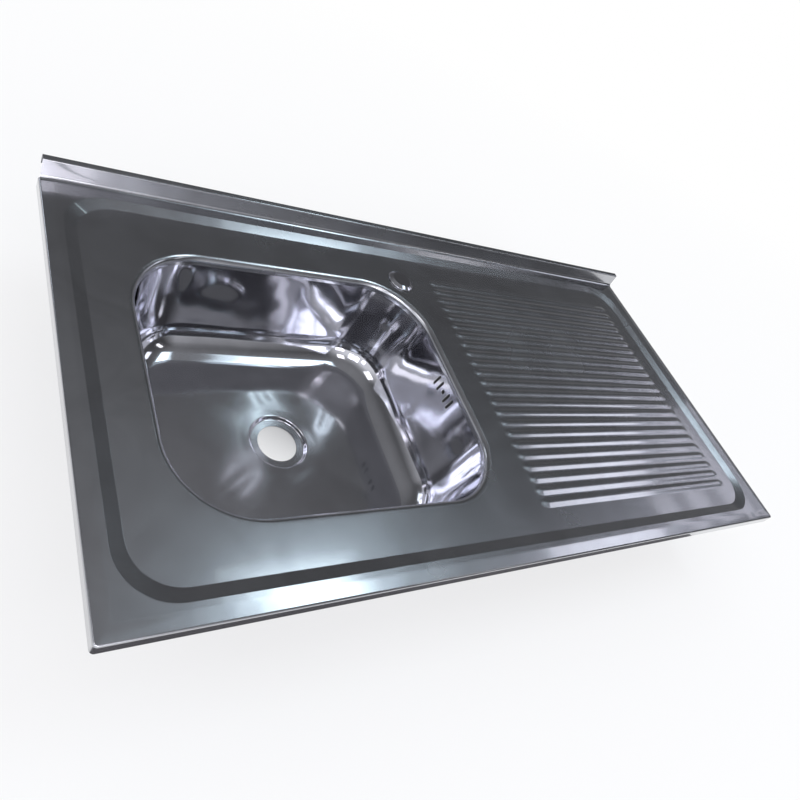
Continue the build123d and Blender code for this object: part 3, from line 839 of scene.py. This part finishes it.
# What repeats underneath
swingPoints = {
    "middle": (229.0, -9.0), "spacing": (888.0, 260.0), "steps": 48,
    "baseTop": 128.2, "baseRadius": 5.0, "baseHeight": 0.6, "baseEdge": 0.25,
    "stud": 3.0, "length": 12.0, "tip": 0.6, "thread": 1.0, "threadDepth": 0.35, "threadFrom": 3.4,
    "washerTop": 125.4, "washerHole": 3.2, "washerRadius": 6.2, "washerHeight": 1.0, "washerEdge": 0.2,
    "nutTop": 124.4, "nutFlats": 10.0, "nutHeight": 4.6, "nutChamfer": 0.7, "nutTurn": 30.0,
    "chamferShares": (1.0, 0.6, 0.3, 0.0), "chamferDrop": 0.6, "boreInset": 0.05,
    "collarRadius": 4.2, "collarHeight": 1.4, "collarEdge": 0.5, "collarRound": 0.3,
}
welds = {
    "level": 137.2, "radius": 1.9, "across": 19.8, "steps": 12,
    "section": ((0, 0.02), (0.55, 0.0), (0.8, -0.16), (1.0, 0.05)),    # share of the radius, rise
    # each channel: middle of its welds, how far they reach, how many along it
    "front": ((229.0, -193.0), 816.0, 26),
    "sides": (((-215.0, 3.0), 360.0, 12), ((673.0, 3.0), 360.0, 12),
              ((377.7, 7.0), 330.0, 11), ((518.3, 7.0), 330.0, 11)),
}


def spread(obj, tree, look, columns, rows, width, length, middle):
    grid = obj.modifiers.new("grid", "NODES")
    grid.node_group = tree
    setInputs(grid, {
        "Columns": columns, "Rows": rows, "Width": width * mm, "Length": length * mm,
        "Middle": [middle[0] * mm, middle[1] * mm, 0.0], "Material": mats[look],
    })
    return applyModifiers(obj)


def swingStud():
    p = swingPoints
    foot = p["baseTop"] - p["baseHeight"]
    end = foot - p["length"]
    profile = [
        (0, p["baseTop"]), (p["baseRadius"] - p["baseEdge"], p["baseTop"]),
        (p["baseRadius"], p["baseTop"] - p["baseEdge"]), (p["baseRadius"], foot), (p["stud"], foot),
    ]
    profile += threadTurns(p, foot - p["threadFrom"], end + p["tip"], 0)
    profile += [(p["stud"], end + p["tip"]), (p["stud"] - p["tip"], end), (0, end)]
    return turned("swingStuds", profile, (0, 0), p["steps"])


def swingWasher():
    p = swingPoints
    top, low, e = p["washerTop"], p["washerTop"] - p["washerHeight"], p["washerEdge"]
    profile = [
        (p["washerHole"], top), (p["washerRadius"] - e, top), (p["washerRadius"], top - e),
        (p["washerRadius"], low + e), (p["washerRadius"] - e, low), (p["washerHole"] + e, low),
        (p["washerHole"], low + e),
    ]
    return turned("swingWashers", profile, (0, 0), p["steps"], closed=True)


def swingNut():
    # six flats with turned-off corners, and the round collar of the locking ring
    p = swingPoints
    bm = bmesh.new()
    top, low = p["nutTop"], p["nutTop"] - p["nutHeight"]
    end, e = low - p["collarHeight"], p["collarEdge"]
    flat, sector = p["nutFlats"] / 2, math.pi / 3
    corner, chamfer = flat / math.cos(sector / 2), p["nutChamfer"]
    bore, shares = p["stud"] - p["boreInset"], p["chamferShares"]
    drops = [chamfer * p["chamferDrop"] * (1 - share) for share in shares]
    rows = [(bore, top, False)]
    rows += [(corner - chamfer * share, top - drop, True) for share, drop in zip(shares, drops)]
    back = list(zip(shares, drops))[::-1]
    rows += [(corner - chamfer * share, low + drop, True) for share, drop in back]
    rows += [
        (p["collarRadius"], low, False), (p["collarRadius"], end + e, False),
        (p["collarRadius"] - e * p["collarRound"], end + e * p["collarRound"], False),
        (p["collarRadius"] - e, end, False), (bore, end, False),
    ]
    rings = []
    for reach, level, six in rows:
        points = []
        for i in range(p["steps"]):
            a = 2 * math.pi * i / p["steps"]
            off = (a - math.radians(p["nutTurn"]) + sector / 2) % sector - sector / 2
            r = min(reach, flat / math.cos(off)) if six else reach
            points.append((r * math.cos(a), r * math.sin(a)))
        rings.append(addRing(bm, points, level))
    stitch(bm, rings + rings[:1])
    bmesh.ops.recalc_face_normals(bm, faces=bm.faces)
    obj = newObject("swingNuts", bm)
    smoothShade(obj, angle=20)
    return obj


def spotWelds():
    # the small rings that the welding tips leave along the channels' flanges
    w = welds
    tree = gridTree()
    layout = [(w["front"][0], w["front"][2], 2, w["front"][1], w["across"])]
    layout += [(middle, 2, count, w["across"], reach) for middle, reach, count in w["sides"]]
    section = [(w["radius"] * share, w["level"] + rise) for share, rise in w["section"]]
    bm = bmesh.new()
    for middle, columns, rows, width, length in layout:
        tip = turned("weld", section, (0, 0), w["steps"])
        spread(tip, tree, "plainSteel", columns, rows, width, length, middle)
        bm.from_mesh(tip.data)
        bpy.data.objects.remove(tip)
    for f in bm.faces:
        if f.normal.z > 0:
            f.normal_flip()
    obj = newObject("spotWelds", bm)
    smoothShade(obj, angle=60)
    return obj, tree


sinkTop = makeSinkTop()
print("sink top:", len(sinkTop.data.polygons), "faces")
bowlShell = makeBowl()
print("bowl:", len(bowlShell.data.polygons), "faces")
capTop = makeCap()
print("cap:", len(capTop.data.polygons), "faces")
weldMarks, fourTree = spotWelds()
fours = [
    spread(obj, fourTree, "zincPlate", 2, 2, *swingPoints["spacing"], swingPoints["middle"])
    for obj in (swingStud(), swingWasher(), swingNut())
]
print("underneath:", len(weldMarks.data.polygons), "faces of welds")


slotLook = {
    "satin_steel": "satinSteel", "polished_steel": "polishedSteel", "plain_steel": "plainSteel",
    "zinc_plate": "zincPlate", "brass": "turnedBrass", "seal_rubber": "sealRubber",
    "sound_pad": "soundPad",
}
for part in frame["record"]["subparts"]:
    obj = nodes[part["node"]]
    obj.data.materials.clear()
    obj.data.materials.append(mats[slotLook[part["material_slot"]]])

for obj, look, node, slot in (
    (sinkTop, "satinSteel", "sink_top", "satin_steel"),
    (bowlShell, "polishedSteel", "bowl", "polished_steel"),
    (capTop, "polishedSteel", "tap_hole_cap", "polished_steel"),
    (fours[0], "zincPlate", "bracket_studs", "zinc_plate"),
    (fours[1], "zincPlate", "bracket_washers", "zinc_plate"),
    (fours[2], "zincPlate", "bracket_lock_nuts", "zinc_plate"),
    (weldMarks, "plainSteel", None, "plain_steel"),
):
    obj.data.materials.clear()
    obj.data.materials.append(mats[look])
    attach(obj, "sink")
    if node:
        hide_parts(node)
print("materials set")


# Floor, light and camera
studio = {
    "floorLevel": -1.2, "floorReach": 40000.0, "floorColour": (0.84, 0.84, 0.85),
    "floorRough": 0.9, "floorGlow": 0.62, "whiteFrom": (3.0, 10.0),
    # painted shadow: the floor's colour and glow are darker below the sink
    "paintedShadowColour": (0.06, 0.06, 0.065), "paintedShadowGlow": 0.0,
    "paintedShadowMiddle": (260.0, 70.0), "paintedShadowReach": (330.0, 150.0), "paintedShadowFade": (0.6, 1.1),
    # painted shade in reflections: how much of the floor the bowl mirrors through the waste hole
    "wasteMirrorShade": 0.05, "wasteMirrorShadeFade": (60.0, 120.0),
    "skyLight": 1.0, "skyColour": (0.8, 0.8, 0.8), "mirroredColour": (0.95, 0.96, 1.0),
    # how high above the horizon (sine), and how bright it is in the steel
    "mirrored": (
        (0.0, 0.9), (0.14, 0.3), (0.36, 0.15), (0.64, 0.11), (0.78, 0.16), (1.0, 0.3),
    ),
    "behindToward": (-0.643, -0.766, 0), "behindFade": (0.1, 0.7), "behindBright": 0.9,
    "behindHigh": (0.62, 0.92),
    # darker sides of the room: toward, from, to, what is left
    "dim": (
        ((0.79, 0.613, 0), 0.55, 0.86, 0.62), ((0.79, -0.613, 0), 0.6, 0.95, 0.45),
    ),
}
# a dark card that only shows as a painted dark reflection in the front skirt
card = {
    "alongX": (-330.0, 740.0), "alongY": (-350.0, -256.0), "level": -0.7,
    "colour": (0.09, 0.085, 0.09),
}


def stageSheet(name, matName, alongX, alongY, level):
    # one flat face of the stage and the shader of its new material
    (x0, x1), (y0, y1) = alongX, alongY
    bm = bmesh.new()
    bm.faces.new(addRing(bm, [(x0, y0), (x1, y0), (x1, y1), (x0, y1)], level))
    obj = newObject(name, bm)
    mat = bpy.data.materials.new(matName)
    mat.use_nodes = True
    obj.data.materials.append(mat)
    return obj, mat.node_tree, mat.node_tree.nodes["Principled BSDF"]


def makeFloor():
    t, wide = studio, (-studio["floorReach"], studio["floorReach"])
    floor, nt, paint = stageSheet("studioFloor", "floorPaint", wide, wide, t["floorLevel"])
    paint.inputs["Roughness"].default_value = t["floorRough"]
    rays = nt.nodes.new("ShaderNodeLightPath").outputs
    place = nt.nodes.new("ShaderNodeTexCoord").outputs["Object"]
    # near the waste hole the floor is painted dark in mirrored rays only, a painted shade in the bowl's
    # reflections
    fade = [c * mm for c in t["wasteMirrorShadeFade"]]
    nearWaste = mapRange(nt, vectorNode(nt, "LENGTH", place), t["wasteMirrorShade"], 1.0, *fade)
    mirrored = mathNode(nt, "MULTIPLY", rays["Is Glossy Ray"], nearWaste)
    kept = mathNode(nt, "MAXIMUM", mathNode(nt, "SUBTRACT", 1.0, rays["Is Glossy Ray"]), nearWaste)
    seen = mathNode(nt, "MAXIMUM", rays["Is Camera Ray"], mirrored)
    seen = mathNode(nt, "MAXIMUM", seen, rays["Is Transmission Ray"])
    # below the sink it is painted dark, a painted shadow pool, and far off it is white
    away = vectorNode(nt, "SUBTRACT", place, [c * mm for c in t["paintedShadowMiddle"]] + [0])
    scaled = vectorNode(nt, "MULTIPLY", away, [1 / (c * mm) for c in t["paintedShadowReach"]] + [0])
    far = vectorNode(nt, "LENGTH", scaled)
    glow = mapRange(nt, far, t["paintedShadowGlow"], t["floorGlow"], *t["paintedShadowFade"])
    afar = mapRange(nt, far, 0.0, 1.0 - t["floorGlow"], *t["whiteFrom"])
    share = mathNode(nt, "MULTIPLY", seen, mathNode(nt, "ADD", glow, afar))
    # the paint takes the dark painted shadow colour below the sink, and near the waste hole in mirrored
    # rays
    edge = mathNode(nt, "MINIMUM", mapRange(nt, far, 0.0, 1.0, *t["paintedShadowFade"]), kept)
    shade = mixColour(nt, edge, t["paintedShadowColour"], t["floorColour"])
    nt.links.new(shade, paint.inputs["Base Color"])
    white = nt.nodes.new("ShaderNodeEmission")
    feed(nt, white.inputs["Color"], (1, 1, 1))
    lit = mixShaders(nt, share, paint.outputs[0], white.outputs[0])
    # nothing to see from below, so that the underside shows
    facing = nt.nodes.new("ShaderNodeNewGeometry").outputs["Backfacing"]
    clear = nt.nodes.new("ShaderNodeBsdfTransparent").outputs[0]
    out = nt.nodes["Material Output"].inputs["Surface"]
    nt.links.new(mixShaders(nt, facing, lit, clear), out)


def makeCard():
    # dark card on the floor, a painted dark reflection in the front skirt, never seen itself
    flag, nt, cloth = stageSheet("darkCard", "paintedDarkReflection", card["alongX"], card["alongY"], card["level"])
    feed(nt, cloth.inputs["Base Color"], card["colour"])
    cloth.inputs["Roughness"].default_value = 1.0
    flag.visible_camera = flag.visible_diffuse = flag.visible_shadow = False


def background(nt, colour, strength):
    node = nt.nodes.new("ShaderNodeBackground")
    feed(nt, node.inputs["Color"], colour)
    feed(nt, node.inputs["Strength"], strength)
    return node.outputs[0]


def makeWorld():
    t = studio
    world = bpy.data.worlds.new("studioWorld")
    bpy.context.scene.world = world
    world.use_nodes = True
    nt = world.node_tree
    nt.nodes.clear()
    rays = nt.nodes.new("ShaderNodeLightPath").outputs
    place = nt.nodes.new("ShaderNodeTexCoord").outputs["Generated"]
    split, up = nt.nodes.new("ShaderNodeSeparateXYZ"), nt.nodes.new("ShaderNodeValToRGB")
    nt.links.new(place, split.inputs[0])
    nt.links.new(split.outputs["Z"], up.inputs["Fac"])
    ramp = up.color_ramp
    ramp.interpolation = "B_SPLINE"
    while len(ramp.elements) < len(t["mirrored"]):
        ramp.elements.new(0.5)
    for stop, (height, bright) in zip(ramp.elements, t["mirrored"]):
        stop.position = height
        stop.color = (bright, bright, bright, 1.0)
    toward = vectorNode(nt, "DOT_PRODUCT", place, t["behindToward"])
    behind = mapRange(nt, toward, 0, t["behindBright"], *t["behindFade"])
    low = mapRange(nt, split.outputs["Z"], 1, 0, *t["behindHigh"])
    strength = mathNode(nt, "ADD", mathNode(nt, "MULTIPLY", behind, low), up.outputs["Color"])
    for side, start, end, left in t["dim"]:
        toward = vectorNode(nt, "DOT_PRODUCT", place, side)
        strength = mathNode(nt, "MULTIPLY", strength, mapRange(nt, toward, 1, left, start, end))
    lit = mixShaders(
        nt, rays["Is Glossy Ray"], background(nt, t["skyColour"], t["skyLight"]),
        background(nt, t["mirroredColour"], strength),
    )
    direct = mathNode(nt, "MAXIMUM", rays["Is Camera Ray"], rays["Is Transmission Ray"])
    out = nt.nodes.new("ShaderNodeOutputWorld").inputs["Surface"]
    nt.links.new(mixShaders(nt, direct, lit, background(nt, (1, 1, 1), 1.0)), out)


# soft boxes: the middle (metres, face down) or the direction toward it (degrees round and above)
lampDistance = 8.0
softBoxes = {
    "stripCore": {"middle": (3.9, 0.75, 7.0), "size": (1.0, 2.9), "bright": 2.4,
                  "colour": (0.78, 0.93, 1.0)},
    "stripGlow": {"middle": (3.85, 0.7, 7.05), "size": (1.5, 3.3), "bright": 1.8,
                  "colour": (0.76, 0.92, 1.0)},
    "stripHalo": {"middle": (3.8, 0.6, 7.1), "size": (2.0, 3.8), "bright": 1.2,
                  "colour": (0.74, 0.9, 1.0)},
    "tubeRear": {"middle": (4.05, 4.88, 7.0), "spin": 15, "size": (0.14, 1.1), "bright": 3.0,
                 "colour": (0.74, 0.92, 1.0), "shape": "ELLIPSE"},
    "tubeRight": {"middle": (4.95, 4.77, 7.0), "spin": -36, "size": (0.1, 1.3), "bright": 2.2,
                  "colour": (0.78, 0.9, 1.0), "shape": "ELLIPSE"},
    "tubeFront": {"middle": (3.85, 4.18, 7.0), "spin": -48, "size": (0.14, 0.9), "bright": 0.7,
                  "colour": (0.85, 0.88, 1.0), "shape": "ELLIPSE"},
    "rightUpper": {"toward": (0, 36), "size": (1.8, 1.3), "bright": 2.1, "colour": (0.86, 0.88, 1.0)},
    "frontWindow": {"toward": (-88, 21), "size": (2.4, 2.6), "bright": 4.0, "colour": (0.96, 0.93, 1.0)},
    "frontUpper": {"toward": (-88, 52), "size": (1.8, 1.6), "bright": 3.0, "colour": (0.96, 0.93, 1.0)},
    "nearLeftPaneA": {"toward": (-132, 36), "size": (1.3, 2.6), "bright": 6.0,
                      "colour": (0.86, 0.88, 1.0)},
    "nearLeftPaneB": {"toward": (-118, 38), "size": (1.3, 2.6), "bright": 6.0,
                      "colour": (0.86, 0.88, 1.0)},
    "leftPane": {"toward": (-150, 28), "size": (1.0, 1.8), "bright": 4.0, "colour": (0.84, 0.87, 1.0)},
    "rearLeftPane": {"toward": (122, 24), "size": (2.0, 1.6), "bright": 2.0, "colour": (0.84, 0.9, 1.0)},
    "nearRightWindow": {"toward": (-31.5, 39), "size": (0.7, 2.0), "bright": 2.6,
                        "colour": (0.96, 0.96, 1.0)},
    "leftWindow": {"toward": (175, 45), "size": (2.6, 2.6), "bright": 2.0, "colour": (0.97, 0.96, 1.0)},
}
# a barred window on the right: rows of panes one above the other
paneRows = {
    "count": 5, "firstAbove": 19.4, "pitch": 2.3, "around": 9.0,
    "size": (2.0, 0.19), "bright": 1.1, "colour": (0.86, 0.86, 1.0),
}
for i in range(paneRows["count"]):
    softBoxes["rightPanes" + str(i + 1)] = dict(
        paneRows, toward=(paneRows["around"], paneRows["firstAbove"] + i * paneRows["pitch"])
    )


def makeLights():
    for name, box in softBoxes.items():
        data = bpy.data.lights.new(name, "AREA")
        data.shape = box.get("shape", "RECTANGLE")
        data.size, data.size_y = box["size"]
        data.color = box["colour"]
        area = data.size * data.size_y * (math.pi / 4 if data.shape == "ELLIPSE" else 1)
        data.energy = box["bright"] * math.pi * area
        lamp = bpy.data.objects.new(name, data)
        if "middle" in box:
            lamp.location = box["middle"]
            facing = Vector((0, 0, 1))
        else:
            around, above = (math.radians(a) for a in box["toward"])
            facing = Vector((
                math.cos(above) * math.cos(around), math.cos(above) * math.sin(around),
                math.sin(above),
            ))
            lamp.location = facing * lampDistance
        spin = Matrix.Rotation(math.radians(box.get("spin", 0)), 3, "Z")
        lamp.rotation_euler = (facing.to_track_quat("Z", "Y").to_matrix() @ spin).to_euler()
        lamp.visible_camera = False
        bpy.context.scene.collection.objects.link(lamp)


cameraSet = {
    "place": (-383.6, -396.5, 633.2), "turn": (43.608, -28.897, -22.4275), "lens": 29.871,
    "shift": (0.025, -0.025), "sensor": 36.0, "clip": (0.01, 50.0),
}


def makeCamera():
    data = bpy.data.cameras.new("photoCamera")
    data.lens, data.sensor_width = cameraSet["lens"], cameraSet["sensor"]
    data.shift_x, data.shift_y = cameraSet["shift"]
    data.clip_start, data.clip_end = cameraSet["clip"]
    cam = bpy.data.objects.new("photoCamera", data)
    cam.location = Vector(cameraSet["place"]) * mm
    cam.rotation_euler = [math.radians(a) for a in cameraSet["turn"]]
    bpy.context.scene.collection.objects.link(cam)
    bpy.context.scene.camera = cam


makeFloor()
makeCard()
makeWorld()
makeLights()
makeCamera()
bpy.context.scene.view_settings.view_transform = "Standard"
print("studio set")
